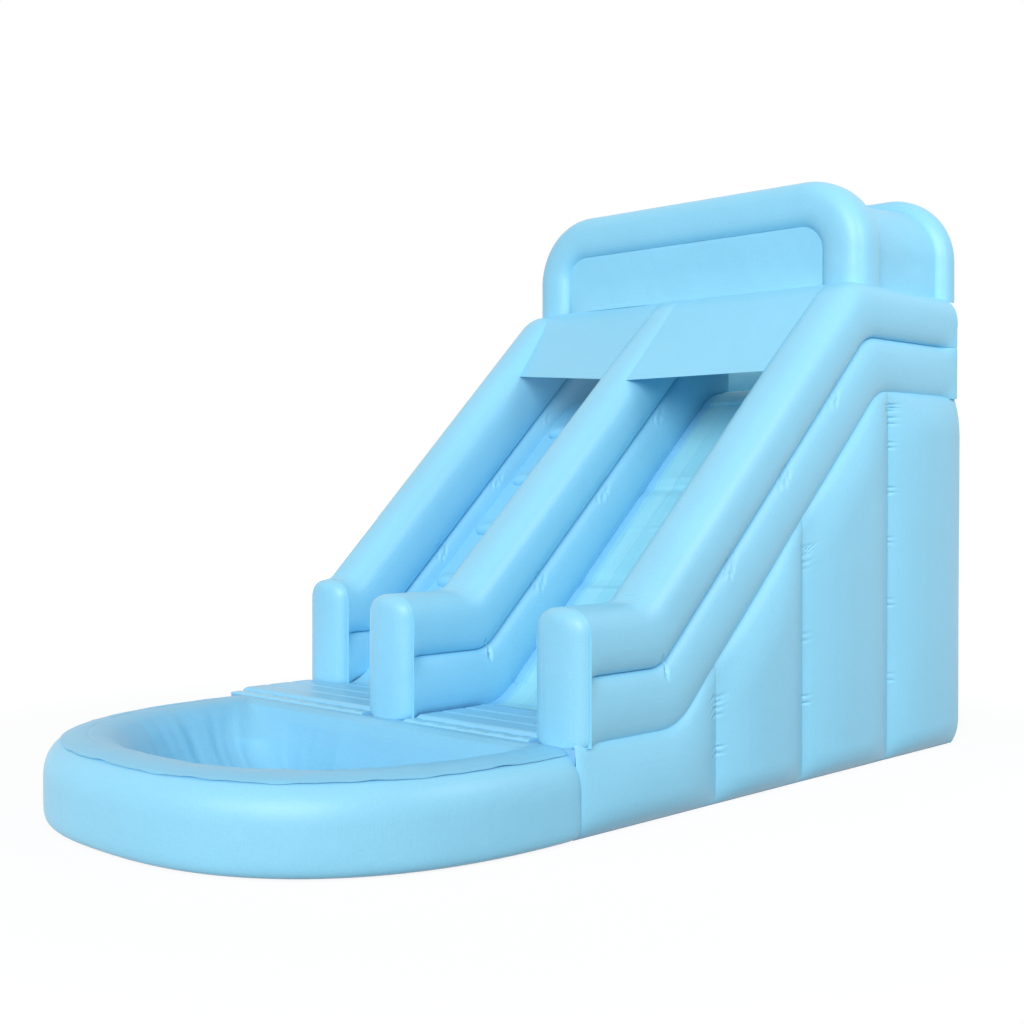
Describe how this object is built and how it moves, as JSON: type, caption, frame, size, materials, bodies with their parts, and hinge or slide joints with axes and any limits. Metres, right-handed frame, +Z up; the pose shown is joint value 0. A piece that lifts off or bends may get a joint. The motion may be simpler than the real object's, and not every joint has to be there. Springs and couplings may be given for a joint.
{
  "type": "inflatable water slide",
  "caption": "Inflatable water slide in pale blue coated cloth: side entry, climbing lane beside a slide lane, covered platform under arches, round splash pool.",
  "frame": {"origin": "on the ground, at half the depth, under the middle of the slide body's width", "axes": "+X to the right as seen from the pool, +Y from the pool to the tower, +Z up"},
  "size_m": [4.0411, 7.9053, 5.07],
  "materials": {
    "coated_cloth": "satin",
    "hung_sheet": "satin",
    "webbing": "matte",
    "steel": "satin"
  },
  "bodies": {
    "slide_body": {"back_left_anchor_tab": "webbing", "back_right_anchor_tab": "webbing", "back_wall": "coated_cloth", "blower_inlet": "coated_cloth", "canopy_sheet": "hung_sheet", "centre_post": "coated_cloth", "centre_rail_lower_tube": "coated_cloth", "centre_rail_upper_tube": "coated_cloth", "climbing_handle_1": "webbing", "climbing_handle_2": "webbing", "climbing_handle_3": "webbing", "climbing_handle_4": "webbing", "climbing_lane": "coated_cloth", "climbing_step_1": "coated_cloth", "climbing_step_2": "coated_cloth", "climbing_step_3": "coated_cloth", "climbing_step_4": "coated_cloth", "climbing_step_5": "coated_cloth", "deflation_zip": "webbing", "entry_landing_pad": "coated_cloth", "entry_seam_strip": "coated_cloth", "front_arch": "coated_cloth", "front_left_anchor_tab": "webbing", "front_panel": "hung_sheet", "front_wall": "coated_cloth", "ground_sheet": "coated_cloth", "inner_web_1": "coated_cloth", "inner_web_2": "coated_cloth", "inner_web_3": "coated_cloth", "landing_deck": "coated_cloth", "left_front_sheet": "hung_sheet", "left_post": "coated_cloth", "left_rail_lower_tube": "coated_cloth", "left_rail_upper_tube": "coated_cloth", "left_side_wall": "coated_cloth", "platform": "coated_cloth", "pool_floor": "coated_cloth", "pool_liner": "hung_sheet", "pool_wall": "coated_cloth", "rear_arch": "coated_cloth", "rear_left_anchor_tab": "webbing", "rear_panel": "hung_sheet", "rear_rail_lower_tube": "coated_cloth", "rear_rail_upper_tube": "coated_cloth", "right_front_sheet": "hung_sheet", "right_post": "coated_cloth", "right_rail_lower_tube": "coated_cloth", "right_rail_upper_tube": "coated_cloth", "right_side_wall": "coated_cloth", "slide_landing_pad": "coated_cloth", "slide_lane": "coated_cloth", "slide_seam_strip": "coated_cloth", "slide_slip_sheet": "hung_sheet", "zip_flap_seam": "coated_cloth"},
    "back_left_ring_body": {"back_left_anchor_ring": "steel"},
    "back_right_ring_body": {"back_right_anchor_ring": "steel"},
    "front_left_ring_body": {"front_left_anchor_ring": "steel"},
    "rear_left_ring_body": {"rear_left_anchor_ring": "steel"},
    "zip_flap_body": {"zip_flap": "coated_cloth"},
    "zip_slider_body": {"zip_slider": "steel"}
  },
  "joints": [
    {"name": "back_left_anchor_ring_swing", "type": "hinge", "parent": "slide_body", "child": "back_left_ring_body", "pos_m": [-1.48125, 3.7652, 0.28], "axis": [1, 0, 0], "range_deg": [0, 175]},
    {"name": "back_right_anchor_ring_swing", "type": "hinge", "parent": "slide_body", "child": "back_right_ring_body", "pos_m": [1.48125, 3.7652, 0.28], "axis": [1, 0, 0], "range_deg": [0, 175]},
    {"name": "front_left_anchor_ring_swing", "type": "hinge", "parent": "slide_body", "child": "front_left_ring_body", "pos_m": [-2.0227, -0.7575, 0.28], "axis": [0, 1, 0], "range_deg": [0, 175]},
    {"name": "rear_left_anchor_ring_swing", "type": "hinge", "parent": "slide_body", "child": "rear_left_ring_body", "pos_m": [-2.0227, 3.1125, 0.28], "axis": [0, 1, 0], "range_deg": [0, 175]},
    {"name": "zip_flap_lift", "type": "hinge", "parent": "slide_body", "child": "zip_flap_body", "pos_m": [0.49, 3.7741, 0.475], "axis": [1, 0, 0], "range_deg": [0, 170]},
    {"name": "zip_slider_travel", "type": "slide", "parent": "slide_body", "child": "zip_slider_body", "axis": [1, 0, 0], "range_m": [0, 0.39]}
  ]
}
